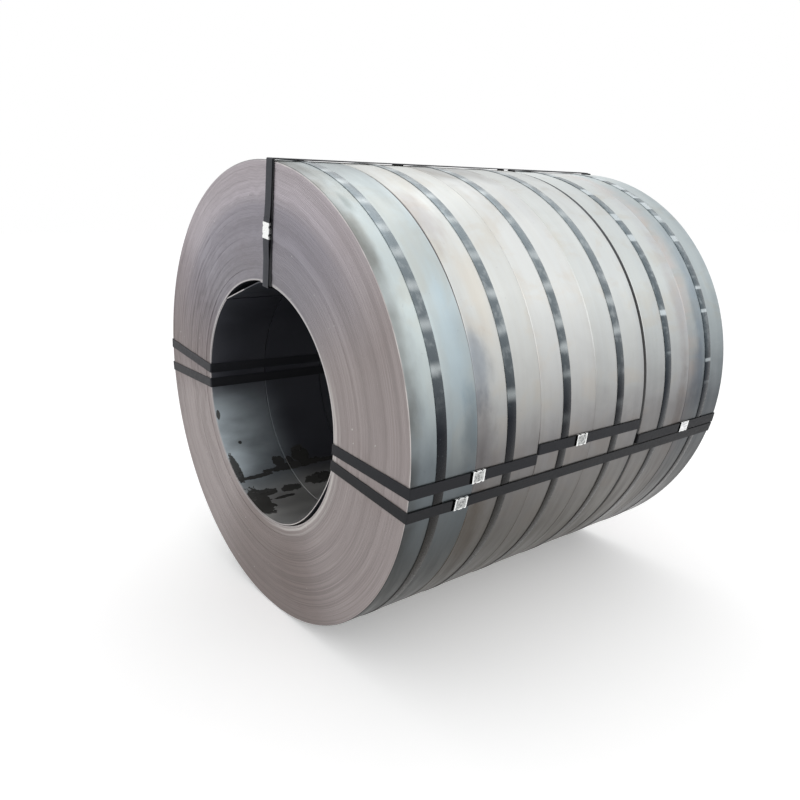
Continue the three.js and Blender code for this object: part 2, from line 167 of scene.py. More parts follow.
class Graph:
    """A short way to write the node tree of a material or world."""

    def __init__(self, owner: Owner, shader: str = "Principled BSDF") -> None:
        """Starts from the shader that a new tree has.

        Args:
            owner: The material or world.
            shader: The name of its shader node.
        """
        owner.use_nodes = True
        self.owner = owner
        self.tree = owner.node_tree
        self.shader = self.tree.nodes[shader]

    def wire(self, node: bpy.types.Node, inputs: Inputs) -> None:
        """Links inputs of a node to values, or sets them to numbers and colours.

        Args:
            node: The node.
            inputs: What each input gets, by its name or number.
        """
        for key, value in inputs.items():
            if isinstance(value, Value):
                self.tree.links.new(value.socket, node.inputs[key])
            else:
                node.inputs[key].default_value = (*value, 1.0) if isinstance(value, tuple) else value

    def node(self, kind: str, inputs: Inputs, **settings: object) -> bpy.types.Node:
        """Adds a node.

        Args:
            kind: The node's type, without its ShaderNode prefix.
            inputs: What each input gets, by its name or number.
            **settings: Properties to set on it.

        Returns:
            The new node.
        """
        made = self.tree.nodes.new(f"ShaderNode{kind}")
        for key, value in settings.items():
            setattr(made, key, value)
        self.wire(made, inputs)
        return made

    def value(self, output: str | int, kind: str, inputs: Inputs, **settings: object) -> Value:
        """Adds a node, as above, and takes one of its outputs."""
        return Value(self, self.node(kind, inputs, **settings).outputs[output])

    def place(self) -> Value:
        """Where a point lies on its piece."""
        return self.value("Object", "TexCoord", {})

    def split(self, vector: Value) -> list[Value]:
        """The three numbers of a vector."""
        return [Value(self, output) for output in self.node("SeparateXYZ", {0: vector}).outputs]

    def vector(self, *numbers: Term) -> Value:
        """Joins three numbers to a vector."""
        return self.value(0, "CombineXYZ", dict(enumerate(numbers)))

    def math(self, operation: str, *terms: Term, clamp: bool = False) -> Value:
        """The result of a Math node, held between 0 and 1 if clamp says so."""
        return self.value(0, "Math", dict(enumerate(terms)), operation=operation, use_clamp=clamp)

    def ramp(self, factor: Value, low: float, high: float, start: float = 0.0, end: float = 1.0) -> Value:
        """Maps a value smoothly, so that low gives start and high gives end, and holds it there."""
        inputs = {"Value": factor, "From Min": low, "From Max": high, "To Min": start, "To Max": end}
        return self.value(0, "MapRange", inputs, interpolation_type="SMOOTHSTEP")

    def stops(self, factor: Value, stops: Sequence[tuple[float, Colour]]) -> Value:
        """The colour at a place on a Color Ramp.

        Args:
            factor: The place on it.
            stops: Places and colours in order.

        Returns:
            The colour.
        """
        made = self.node("ValToRGB", {0: factor})
        elements = made.color_ramp.elements
        while len(elements) < len(stops):
            elements.new(0.5)
        for element, (place, _) in zip(elements, stops):
            element.position = place
        for element, (_, colour) in zip(elements, stops):
            element.color = (*colour, 1.0)
        return Value(self, made.outputs[0])

    def mix(self, share: Term, first: Tone, second: Tone, blend: str = "MIX") -> Value:
        """Mixes a share of the second colour into the first."""
        inputs = {0: share, MIX_FIRST: first, MIX_SECOND: second}
        return self.value(MIX_RESULT, "Mix", inputs, data_type="RGBA", blend_type=blend, clamp_factor=True)

    def tint(self, share: Term, colour: Tone, by: Tone) -> Value:
        """Multiplies a share of a colour by another one."""
        return self.mix(share, colour, by, "MULTIPLY")

    def noise(self, at: Value, scale: float, detail: float, rough: float = 0.5, bend: float = 0.0) -> Value:
        """A Noise Texture's value, around 0.5, where detail is its octaves and bend its distortion."""
        inputs = {"Vector": at, "Scale": scale, "Detail": detail, "Roughness": rough, "Distortion": bend}
        return self.value(0, "TexNoise", inputs)

    def seen(self) -> Value:
        """1 where the camera sees a thing, straight or by a mirror or glass, and 0 where light meets it.

        Returns:
            The 1 or 0.
        """
        rays = ("Camera", "Glossy", "Transmission")
        path = self.node("LightPath", {}).outputs
        camera, glossy, through = (Value(self, path[f"Is {ray} Ray"]) for ray in rays)
        return self.math("ADD", camera + glossy, through, clamp=True)

    def bump(self, height: Value, strength: float, depth: float) -> None:
        """Puts a bump on the shader, whose height of 1 is so many metres deep."""
        inputs = {"Strength": strength, "Distance": depth, "Height": height}
        self.wire(self.shader, {"Normal": self.value(0, "Bump", inputs)})

    def finish(
        self, colour: Tone, rough: Term, metallic: Term, coat: float = 0.0, specular: float = 0.5
    ) -> bpy.types.Material:
        """Connects the shader.

        Args:
            colour: Its base colour.
            rough: Its roughness.
            metallic: How metallic it is.
            coat: The weight of its clear coat.
            specular: How strongly its bare, unmetallic share mirrors.

        Returns:
            The finished material.
        """
        self.wire(self.shader, {"Base Color": colour, "Roughness": rough, "Metallic": metallic})
        self.wire(self.shader, {"Specular IOR Level": specular, "Coat Weight": coat})
        self.wire(self.shader, {"Coat Roughness": COAT_ROUGHNESS})
        return self.owner


@dataclass(frozen=True)
class Spot:
    """A place and size on a coil.

    Attributes:
        angle: Its middle's angle.
        along: Its middle's place along the axis.
        tall: How far it reaches round the coil either way, in degrees.
        wide: How far it reaches along the axis either way.
    """

    angle: float
    along: float
    tall: float
    wide: float


class CoilGraph(Graph):
    """A material's node tree that knows its place round the coils' axis."""

    def __init__(self, name: str) -> None:
        """Reads object coordinates as radius, turn round the axis, height and length.

        Args:
            name: The material's name.
        """
        super().__init__(bpy.data.materials.new(name))
        self.point = self.place()
        self.across, self.along, height = self.split(self.point)
        self.height = height - AXIS_HEIGHT
        self.radius = self.math("SQRT", self.across * self.across + self.height * self.height)
        self.cosine = self.across / self.radius
        self.sine = self.height / self.radius

    def level(self) -> Value:
        """How high a point lies round the coil, from 0 underneath to 1 on top."""
        return self.sine * 0.5 + 0.5

    def round(self, stretch: float, radial: float, axial: float) -> Value:
        """A vector that changes by stretch round the axis, and by the others per metre out and along."""
        reach = self.radius * radial + stretch
        return self.vector(self.cosine * reach, self.along * axial, self.sine * reach)

    def lines(self, fast: Value, turn: float) -> Value:
        """A vector that changes with a fast value, and by turn round the axis."""
        return self.vector(fast, self.cosine * turn, self.sine * turn)

    def towards(self, degrees: float, low: float, high: float) -> Value:
        """How much a point lies in a direction, as the cosine of the angle from it goes from low to high."""
        nearness = self.cosine * cosine_of(degrees) + self.sine * sine_of(degrees)
        return self.ramp(nearness, low, high)

    def away(self, spot: Spot) -> Value:
        """How far a point is from a spot's middle.

        Args:
            spot: The spot.

        Returns:
            The distance, which is 1 where the spot ends.
        """
        turned = self.sine * cosine_of(spot.angle) - self.cosine * sine_of(spot.angle)
        tall = turned / sine_of(spot.tall)
        wide = (self.along - spot.along) / spot.wide
        return self.math("SQRT", tall * tall + wide * wide)


# ---- Finishes ----


@dataclass(frozen=True)
class EdgeBand:
    """A tinted band along one edge of a slit.

    Attributes:
        colour: Its colour at full strength.
        width: How far it reaches in from the edge, in metres.
        strength: How much it hides, from 0 to 1.
    """

    colour: Colour
    width: float
    strength: float


@dataclass(frozen=True)
class Blotch(Spot):
    """A soft-edged patch on a barrel, darker or lighter than the scale round it.

    Attributes:
        colour: What it multiplies the scale's colour by.
    """

    colour: Colour


@dataclass(frozen=True)
class BarrelFinish:
    """Mill scale on the outermost turn of one coil, with a painted reflection of the sky on top and painted
    shade underneath.

    Attributes:
        crown: Colour on top, lightened as a painted reflection of the sky.
        flank: Colour at the height of the axis.
        keel: Colour underneath, darkened as painted shade.
        top: How bright the painted reflection on the very top is, as a share of the crown.
        front: The band along the front edge.
        rear: The band along the rear edge.
        seed: Moves the patterns.
        blotches: Its darker and lighter patches.
        warm: What the clouded patches multiply the colour by.
        brushed: The same for the fine streaks.
        cool: The same for the broad streaks.
        specks: The same for the specks.
    """

    crown: Colour
    flank: Colour
    keel: Colour
    top: float
    front: EdgeBand
    rear: EdgeBand
    seed: float
    blotches: tuple[Blotch, ...] = ()
    warm: Colour = (0.96, 0.91, 0.86)
    brushed: Colour = (0.93, 0.9, 0.86)
    cool: Colour = (0.86, 0.87, 0.9)
    specks: Colour = (0.72, 0.72, 0.74)

    def material(self, name: str, start: float, end: float) -> bpy.types.Material:
        """Builds the material for a coil between two places on the axis.

        Args:
            name: The material's name.
            start: The coil's front.
            end: The coil's rear.

        Returns:
            The material.
        """
        g = CoilGraph(name)
        cloudy = g.noise(g.round(1.1 + self.seed, 1.0, 4.0), 2.2, 4.0, 0.55, 0.4)
        # Colour by height is painted light: a painted sky reflection on top and painted shade underneath.
        heights = [
            (0.0, self.keel),
            (0.25, between(self.keel, self.flank, 0.2)),
            (0.49, self.flank),
            (0.625, between(self.crown, self.flank, 0.45)),
            (0.76, self.crown),
            (0.87, scaled(self.crown, 0.99)),
            (0.95, scaled(self.crown, 0.72 + 0.2 * self.top)),
            (1.0, scaled(self.crown, self.top)),
        ]
        colour = g.stops(g.level() + (cloudy - 0.5) * 0.07, heights)
        colour = g.tint(g.ramp(cloudy, 0.5, 0.66, 0.0, 0.7), colour, self.warm)
        fine = g.noise(g.lines(g.along * 95.0 + 7 * self.seed, 0.9), 1.0, 4.0, 0.6)
        colour = g.tint(g.ramp(fine, 0.35, 0.75, 0.0, 0.28), colour, self.brushed)
        broad = g.noise(g.lines(g.along * 14.0 + 3 * self.seed, 1.6), 1.0, 3.0)
        colour = g.tint(g.ramp(broad, 0.4, 0.7, 0.0, 0.35), colour, self.cool)
        patchy = g.ramp(g.noise(g.round(2.0 + 3 * self.seed, 1.0, 2.0), 1.7, 3.0), 0.3, 0.62, 0.35, 1.0)
        for band, edge, inward in ((self.front, start, 1.0), (self.rear, end, -1.0)):
            ragged = g.noise(g.round(1.5 + band.width * 10, 1.0, 9.0), 2.6, 5.0, 0.6) - 0.5
            depth = (g.along - edge) * inward + ragged * (band.width * 0.9)
            share = g.ramp(depth, 0.0, band.width, band.strength, 0.0) * patchy
            colour = g.tint(share, colour, band.colour)
        ragged = (g.noise(g.round(2.0, 1.0, 8.0), 2.4, 4.0, 0.6) - 0.5) * 1.6
        for blotch in self.blotches:
            share = g.ramp(g.away(blotch) + ragged, 0.1, 1.1, 1.0, 0.0)
            colour = g.tint(share * g.towards(blotch.angle, 0.2, 0.5), colour, blotch.colour)
        colour = g.tint(g.ramp(g.noise(g.point, 90.0, 2.0, 0.6), 0.7, 0.76, 0.0, 0.3), colour, self.specks)
        g.bump(g.noise(g.round(3.0, 1.0, 16.0), 3.0, 3.0), 0.25, 0.0015)
        uneven = g.noise(g.lines(g.along * 40.0 + self.seed, 3.0), 1.0, 4.0, 0.6)
        return g.finish(colour, g.ramp(uneven, 0.3, 0.7, 0.3, 0.44), 0.85)


@dataclass(frozen=True)
class EndFinish:
    """Sheared edges of the turns on an end face, with painted sky light on its upper part, painted shade on
    the left and at the bottom, and painted highlights at the bore and along the outer edge.

    Attributes:
        light: Colour of the brightest edges.
        dark: Colour of the darkest edges.
        arris: How strongly the painted highlight along the outer edge shows.
        worn: Colour of that painted highlight.
        rim: Colour of the edges beside the bore, a painted highlight that grows towards the top.
        rings: Colour of the pale rings near it.
        nicks: Colour of single nicks.
        smears: What the smears multiply the colour by.
        sky: What the painted sky light multiplies the upper part by.
        tones: Places from the bore, 0, to the barrel, 1, and what they multiply the upper part by.
        shades: Angle, two cosines and multiplier of each part darkened as painted shade.
    """

    light: Colour = (0.375, 0.33, 0.325)
    dark: Colour = (0.255, 0.222, 0.217)
    arris: float = 0.75
    worn: Colour = (0.74, 0.71, 0.69)
    rim: Colour = (0.62, 0.6, 0.6)
    rings: Colour = (0.6, 0.57, 0.55)
    nicks: Colour = (0.7, 0.69, 0.68)
    smears: Colour = (0.86, 0.82, 0.8)
    sky: Colour = (1.28, 1.34, 1.46)
    tones: tuple[tuple[float, Colour], ...] = (
        (0.0, (0.64, 0.66, 0.68)),
        (0.5, (0.71, 0.73, 0.77)),
        (0.7, (0.8, 0.82, 0.86)),
        (0.82, (1.05, 1.05, 1.06)),
        (1.0, (1.08, 1.07, 1.06)),
    )
    shades: tuple[tuple[float, float, float, Colour], ...] = (
        (158, 0.86, 0.99, (0.74, 0.72, 0.73)),
        (270, 0.74, 0.99, (0.66, 0.63, 0.61)),
    )

    def material(self, name: str) -> bpy.types.Material:
        """Builds the material.

        Args:
            name: The material's name.

        Returns:
            The material.
        """
        g = CoilGraph(name)
        sway = (g.noise(g.round(2.0, 0.5, 0.0), 2.2, 2.0) - 0.5) * (g.towards(150, -0.2, 0.9) * 5.0 + 0.9)
        fine = g.noise(g.lines(g.radius * 330.0 + sway, 0.8), 1.0, 3.0, 0.65)
        broad = g.noise(g.lines(g.radius * 45.0 + sway, 0.5), 1.0, 2.0)
        patchy = g.ramp(g.noise(g.round(3.0, 4.0, 0.0), 1.2, 2.0), 0.35, 0.65, 0.4, 1.0)
        patchy += g.towards(155, 0.7, 0.95) * 0.25 + g.towards(300, 0.75, 0.98)
        tone = (fine - 0.5) * patchy + 0.5 + (broad - 0.5) * 0.5
        colour = g.mix(g.ramp(tone, 0.25, 0.75), self.dark, self.light)
        # Painted sky light on the upper part of the face, weaker towards the bore.
        upper = g.tint(1.0, colour, g.stops(g.ramp(g.radius, BORE_RADIUS, COIL_RADIUS), self.tones))
        colour = g.mix(g.towards(95, 0.25, 0.9), colour, g.tint(1.0, upper, self.sky))
        # Painted shade on the left and at the bottom of the face.
        for angle, low, high, shade in self.shades:
            colour = g.tint(g.towards(angle, low, high), colour, shade)
        # Painted highlight on the edges beside the bore, stronger towards the top.
        rim = g.ramp(g.radius, BORE_RADIUS + 0.005, BORE_RADIUS + 0.0085, 1.0, 0.0)
        colour = g.mix(rim * (g.towards(80, -0.15, 0.5) * 0.35 + 0.4), colour, self.rim)
        rings = g.ramp(g.noise(g.lines(g.radius * 150.0 + sway, 0.3), 1.0, 1.0), 0.42, 0.62, 0.15, 0.9)
        near_bore = g.ramp(g.radius, 0.31, 0.345, 1.0, 0.0) * g.towards(328, 0.3, 0.9)
        colour = g.mix(near_bore * rings, colour, self.rings)
        # Painted highlight along the outer edge, on the upper right.
        arris = g.ramp(g.radius, COIL_RADIUS - 0.0055, COIL_RADIUS - 0.003, 0.0, self.arris)
        arris *= g.ramp(g.noise(g.round(4.0, 1.0, 1.0), 2.0, 3.0, 0.6), 0.35, 0.65, 0.35, 1.0)
        colour = g.mix(arris * g.towards(35, 0.55, 0.8), colour, self.worn)
        colour = g.tint(g.ramp(g.noise(g.point, 5.0, 4.0, 0.55), 0.5, 0.75, 0.0, 0.4), colour, self.smears)
        colour = g.mix(g.ramp(g.noise(g.point, 100.0, 1.0), 0.79, 0.82, 0.0, 0.5), colour, self.nicks)
        g.bump(fine, 0.04, 0.0005)
        return g.finish(colour, g.ramp(fine, 0.3, 0.7, 0.45, 0.6), 0.4)


# Angle, depth in the bore, reach round it in degrees and reach along it.
OIL_MARKS = (
    (196.5, 0.01, 2.6, 0.006),
    (213.5, 0.055, 0.9, 0.006),
    (228, 0.012, 9, 0.014),
    (235.5, 0.06, 1.3, 0.05),
    (233.5, 0.2, 2.4, 0.11),
    (234.5, 0.31, 1.3, 0.06),
    (229.5, 0.15, 4, 0.018),
    (230.5, 0.185, 3.5, 0.012),
    (228, 0.228, 6.5, 0.028),
    (254, 0.022, 12, 0.036),
    (247.5, 0.06, 3, 0.035),
    (248.5, 0.14, 2.6, 0.035),
    (246.5, 0.25, 4, 0.055),
    (254, 0.105, 1.1, 0.035),
)
OIL_STAINS = tuple(Spot(angle, FRONT_MOUTH + depth, tall, wide) for angle, depth, tall, wide in OIL_MARKS)


@dataclass(frozen=True)
class BoreFinish:
    """Oily mill scale on the innermost turns, darkened as painted shade and lit at the mouth by painted
    light.

    Attributes:
        deep: Colour deeper in, dark oily scale that also stands for painted shade.
        worn: Colour of the painted light that falls in at the mouth.
        dusty: Colour along the bottom.
        stain: Colour of the oil stains.
        stains: The oil stains.
    """

    deep: Colour = (0.045, 0.047, 0.058)
    worn: Colour = (0.66, 0.75, 0.8)
    dusty: Colour = (0.34, 0.335, 0.325)
    stain: Colour = (0.055, 0.053, 0.049)
    stains: tuple[Spot, ...] = OIL_STAINS

    def material(self, name: str) -> bpy.types.Material:
        """Builds the material.

        Args:
            name: The material's name.

        Returns:
            The material.
        """
        g = CoilGraph(name)
        haze = g.noise(g.round(2.0, 1.0, 3.0), 2.0, 4.0, 0.55)
        dust = g.towards(274, 0.74, 0.95) * g.ramp(haze, 0.2, 0.7, 0.6, 1.0)
        # Painted light falling in at the mouth onto the lower left wall, fading inwards.
        mouth = g.ramp(g.along, FRONT_MOUTH, FRONT_MOUTH + 0.25, 1.0, 0.0) * g.towards(215, 0.77, 1.06)
        uneven = mouth * g.ramp(haze, 0.25, 0.7, 0.6, 1.0)
        # The deep colour, partly painted shade, takes the dust and then the painted light at the mouth.
        colour = g.mix(uneven, g.mix(dust, self.deep, self.dusty), self.worn)
        ragged = (g.noise(g.round(9.0, 1.0, 34.0), 1.7, 4.0, 0.6, 0.2) - 0.5) * 1.3
        nearest: Term = 2.0
        for spot in self.stains:
            nearest = g.math("MINIMUM", g.away(spot), nearest)
        wet = g.ramp(nearest + ragged, 0.93, 1.05, 1.0, 0.0) * g.towards(240, 0.6, 0.7)
        colour = g.mix(wet * 0.9, colour, self.stain)
        g.bump(haze, 0.2, 0.002)
        return g.finish(colour, g.ramp(haze, 0.3, 0.7, 0.36, 0.52) - wet * 0.2, 0.5)


@dataclass(frozen=True)
class StrapFinish:
    """Blued or waxed steel strapping, lighter towards the top and patched on its upper half with painted
    reflections of the sky.

    Attributes:
        low: Colour underneath.
        middle: Colour at the height of the axis.
        high: Colour on top, lightened as a painted reflection of the sky.
        glint: Colour of the patches, which are painted reflections of the sky.
        shine: How strongly the patches show.
        patches: How many patches there are to a radian, roughly.
        gap: Half the length of a patch's bright middle, as a share of their spacing.
        gap_on_top: The same near the top.
        soft: How far it fades to either side, as a share of their spacing.
        rough: Its roughness.
        metallic: How metallic it is.
        coat: The weight of its wax.
        specular: How strongly its bare, unmetallic share mirrors.
        dust: How much dust lies on it on the left of the end face.
        mottle: How strongly finer patches of painted reflection show on its upper half.
        dust_colour: Colour of that dust.
        cut: Colour of the painted shadow on the strap's end in front of a seal.
        rise: How far the colour goes from middle to high at each level, from 0.5 to 1 on top.
    """

    low: Colour
    middle: Colour
    high: Colour
    glint: Colour
    shine: float
    patches: float
    gap: float
    gap_on_top: float
    soft: float
    rough: float
    metallic: float
    coat: float
    specular: float = 0.5
    dust: float = 0.0
    mottle: float = 0.3
    dust_colour: Colour = (0.17, 0.16, 0.158)
    cut: Colour = (0.001, 0.001, 0.001)
    rise: tuple[Pair, ...] = (
        (0.58, 0.07),
        (0.629, 0.23),
        (0.711, 0.48),
        (0.79, 0.64),
        (0.87, 0.92),
        (0.93, 0.88),
        (0.985, 0.6),
    )

    def material(self, name: str, shift: float = 0.0, seal_front: float | None = None) -> bpy.types.Material:
        """Builds the material.

        Args:
            name: The material's name.
            shift: Moves the pattern, so that no two straps are alike.
            seal_front: The front of the strap's seal, if it lies along the barrel.

        Returns:
            The material.
        """
        g = CoilGraph(name)
        # Colour by height is painted light: dark at the middle and lighter towards the top, as a painted
        # reflection of the sky.
        rising = [(level, between(self.middle, self.high, share)) for level, share in self.rise]
        colour = g.stops(g.level(), [(0.3, self.low), (0.55, self.middle), *rising])
        # Patches of painted glint along the strap, spaced by cells round the axis.
        turn = g.math("ARCTAN2", g.height, g.across) + shift
        cells = {"W": turn, "Scale": self.patches}
        edge = g.value("Distance", "TexVoronoi", cells, voronoi_dimensions="1D", feature="DISTANCE_TO_EDGE")
        beyond = edge - g.ramp(g.sine, 0.5, 0.95, self.gap, self.gap_on_top)
        lively = g.noise(g.vector(turn * (self.patches * 0.8), g.along * 9.0, 0.0), 1.0, 2.0)
        lively += g.ramp(g.sine, 0.25, 0.95, 0.0, 0.12)
        shine = g.ramp(beyond, 0.0, self.soft, 1.0, 0.0) * g.ramp(lively, 0.42, 0.56)
        colour = g.mix(shine * g.ramp(g.sine, -0.02, 0.3) * self.shine, colour, self.glint)
        # Finer patches of painted reflection on the upper half.
        mottle = g.noise(g.vector(turn * 21.0, g.along * 38.0, 0.0), 1.0, 2.0, 0.6)
        mottle = g.ramp(mottle, 0.46, 0.72, 0.0, self.mottle) * g.ramp(g.sine, 0.1, 0.5)
        colour = g.mix(mottle, colour, self.glint)
        scratches = g.noise(g.point, 160.0, 2.0, 0.6)
        colour = g.mix(g.ramp(scratches, 0.62, 0.74, 0.0, 0.08), colour, self.high)
        if self.dust:
            dusty = g.towards(165, 0.5, 0.95) * g.ramp(g.radius, BORE_RADIUS + 0.001, BORE_RADIUS + 0.006)
            dusty *= g.ramp(g.radius, COIL_RADIUS - 0.02, COIL_RADIUS + 0.002, self.dust, 0.0)
            colour = g.mix(dusty, colour, self.dust_colour)
        metallic: Term = self.metallic
        # Painted shadow of the seal on the strap's end in front of it: black and unmetallic.
        if seal_front is not None:
            seal_shadow = g.ramp(g.along, seal_front - SEAL_SHADOW, seal_front - SEAL_SHADOW + 0.0005)
            seal_shadow *= g.ramp(g.along, seal_front + 0.001, seal_front + 0.002, 1.0, 0.0)
            seal_shadow *= g.ramp(g.radius, COIL_RADIUS - 0.001, COIL_RADIUS)
            colour = g.mix(seal_shadow, colour, self.cut)
            metallic = g.ramp(seal_shadow, 0.0, 1.0, self.metallic, 0.0)
        g.bump(lively, 0.15, 0.002)
        rough = g.ramp(scratches, 0.3, 0.7, self.rough, self.rough + 0.12)
        return g.finish(colour, rough, metallic, self.coat, self.specular)


@dataclass(frozen=True)
class ZincFinish:
    """Spangled zinc on a seal, with a painted highlight along its edges.

    Attributes:
        rim: Colour of the painted highlight along its edges.
        bright: Colour of the bright spangles.
        dull: Colour of the dull ones.
    """

    rim: Colour = (0.92, 0.93, 0.92)
    bright: Colour = (0.5, 0.51, 0.5)
    dull: Colour = (0.24, 0.245, 0.245)

    def material(self, node: str) -> bpy.types.Material:
        """Builds the material.

        Args:
            node: The seal that it is for.

        Returns:
            The material.
        """
        g = Graph(bpy.data.materials.new(f"{node}_zinc"))
        place = g.place()
        reaches = [
            g.math("ABSOLUTE", part - (low + high) / 2) / ((high - low) / 2)
            for part, low, high in list(zip(g.split(place), *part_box(node)))[1:]
        ]
        cells = g.value("Color", "TexVoronoi", {"Vector": place, "Scale": 260.0}, feature="F1")
        smudge = g.noise(place, 85.0, 3.0, 0.6)
        tone = g.value(0, "RGBToBW", {0: cells}) * 0.5 + smudge * 0.5
        # Painted highlight along the edges of the seal, found from its box.
        edge = g.math("MAXIMUM", *reaches) + smudge * 0.3
        colour = g.mix(g.ramp(tone, 0.36, 0.62), self.dull, self.bright)
        colour = g.mix(g.ramp(edge, 0.86, 1.04), colour, self.rim)
        g.bump(smudge, 0.5, 0.0006)
        return g.finish(colour, g.ramp(tone, 0.3, 0.7, 0.42, 0.24), 0.8)


# ---- Mesh helpers ----


def placed(name: str, data: bpy.types.ID) -> bpy.types.Object:
    """Puts an object with its data into the scene.

    Args:
        name: The object's name.
        data: Its mesh, lamp or camera.

    Returns:
        The object.
    """
    made = bpy.data.objects.new(name, data)
    bpy.context.scene.collection.objects.link(made)
    return made


def finished(
    mesh: bmesh.types.BMesh, name: str, materials: Sequence[bpy.types.Material], crease: float = 25.0
) -> bpy.types.Object:
    """Turns a bmesh into a shaded object at the origin.

    Args:
        mesh: The bmesh, which is freed.
        name: The object's name.
        materials: Its materials in slot order.
        crease: Edges bent more than this many degrees stay sharp.

    Returns:
        The object.
    """
    data = bpy.data.meshes.new(name)
    mesh.to_mesh(data)
    mesh.free()
    for material in materials:
        data.materials.append(material)
    data.shade_smooth()
    data.set_sharp_from_angle(angle=math.radians(crease))
    return placed(name, data)


def attach(piece: bpy.types.Object, node: str) -> None:
    """Makes a piece ride on the pack and stand for its node.

    Args:
        piece: The finished piece.
        node: The node that it stands for.
    """
    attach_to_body(piece, "root")
    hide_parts(node)
    LOG.info("%s: %d faces", piece.name, len(piece.data.polygons))


def polar(radius: float, angle: float, along: float) -> Vector:
    """The point at a distance, an angle in radians and a place along the coils' axis."""
    return Vector((radius * math.cos(angle), along, AXIS_HEIGHT + radius * math.sin(angle)))


def from_axis(point: Vector) -> Pair:
    """A point's distance from the coils' axis and its angle round it, in radians."""
    x, z = point.x, point.z - AXIS_HEIGHT
    return math.hypot(x, z), math.atan2(z, x)


def wrapped_band(
    size: Triple,
    steps: int,
    edge: float,
    course: Callable[[float, float], Pair],
    middle: float,
) -> bmesh.types.BMesh:
    """A band with rounded edges, made flat and then wound round the coils' axis.

    Args:
        size: Its length, its width along the axis and its thickness.
        steps: How many lengths it is cut into for winding.
        edge: The radius of its edges.
        course: Gives radius and angle from the distance along the band and the height over its
            middle plane.
        middle: Where its middle lies along the axis.

    Returns:
        The wound band.
    """
    length = size[0]
    band = bmesh.new()
    bmesh.ops.create_cube(band, size=1.0)
    bmesh.ops.scale(band, vec=size, verts=band.verts)
    bmesh.ops.translate(band, vec=(length / 2, 0.0, 0.0), verts=band.verts)
    long_edges = [e for e in band.edges if abs(e.verts[0].co.x - e.verts[1].co.x) > length / 2]
    bmesh.ops.bevel(
        band,
        geom=long_edges,
        offset=edge,
        offset_type="OFFSET",
        segments=2,
        profile=0.5,
        affect="EDGES",
        material=-1,
    )
    ahead = [*band.verts, *band.edges, *band.faces]
    for cut in (length * i / steps for i in range(1, steps)):
        bmesh.ops.bisect_plane(
            band, geom=[g for g in ahead if g.is_valid], plane_co=(cut, 0.0, 0.0), plane_no=(1.0, 0.0, 0.0)
        )
        ahead = [v for v in band.verts if v.co.x >= cut - TOLERANCE]
        for parts in (band.edges, band.faces):
            ahead += [part for part in parts if all(v.co.x >= cut - TOLERANCE for v in part.verts)]
    for vert in band.verts:
        radius, angle = course(vert.co.x, vert.co.z)
        vert.co = polar(radius, angle, middle + vert.co.y)
    bmesh.ops.recalc_face_normals(band, faces=band.faces)
    return band


def softened_copy(node: str, edge: float, material: bpy.types.Material) -> bpy.types.Object:
    """A copy of a CAD solid with its edges broken.

    Args:
        node: The CAD node.
        edge: The width of the broken edge.
        material: The copy's material.

    Returns:
        The copy, which stands for the node.
    """
    flat, corner, crease = math.radians(0.3), math.radians(60), 20.0
    copy = bmesh.new()
    copy.from_mesh(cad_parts[node].data)
    bmesh.ops.remove_doubles(copy, verts=copy.verts, dist=TOLERANCE)
    bmesh.ops.dissolve_limit(copy, angle_limit=flat, verts=copy.verts, edges=copy.edges)
    sharp = [e for e in copy.edges if len(e.link_faces) == 2 and e.calc_face_angle(0.0) > corner]
    bmesh.ops.bevel(
        copy,
        geom=sharp,
        offset=edge,
        offset_type="OFFSET",
        segments=1,
        profile=0.5,
        affect="EDGES",
        material=-1,
        clamp_overlap=True,
    )
    return finished(copy, f"{node}_finished", [material], crease)


# ---- Slit coils ----


@dataclass(frozen=True)
class TurnGroup:
    """Neighbouring turns that stand equally far back on an end face.

    Attributes:
        turns: How many turns.
        back: How far they stand back from the foremost ones.
    """

    turns: int
    back: float


FRONT_GROUPS = (
    TurnGroup(9, 0.0009),
    TurnGroup(21, 0.0),
    TurnGroup(3, 0.0007),
    TurnGroup(26, 0.0003),
    TurnGroup(29, 0.0006),
)
REAR_GROUPS = (TurnGroup(14, 0.0008), TurnGroup(33, 0.0), TurnGroup(2, 0.0014), TurnGroup(39, 0.0006))


